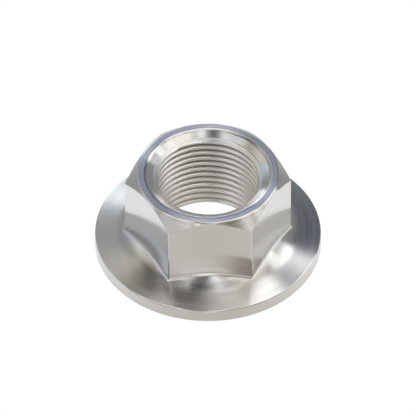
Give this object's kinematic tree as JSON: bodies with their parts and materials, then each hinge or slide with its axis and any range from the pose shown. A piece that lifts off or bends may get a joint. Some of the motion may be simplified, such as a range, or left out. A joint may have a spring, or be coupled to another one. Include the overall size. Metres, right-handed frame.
{
  "type": "flange nut",
  "caption": "Hexagon nut with a wide concave bearing flange in one piece, a turned crown and a countersunk fine-pitch threaded bore.",
  "frame": {"origin": "centre of the flat bearing face, on the thread axis", "axes": "+Z along the thread axis from the bearing face to the crown, +Y square to one flat of the hexagon, +X through one of its corners"},
  "size_m": [0.0454, 0.0454, 0.0195],
  "materials": {
    "steel": "bright turned and milled steel, clean, with a fine tool pattern"
  },
  "bodies": {
    "root": {"flange_nut": "steel"}
  },
  "joints": []
}
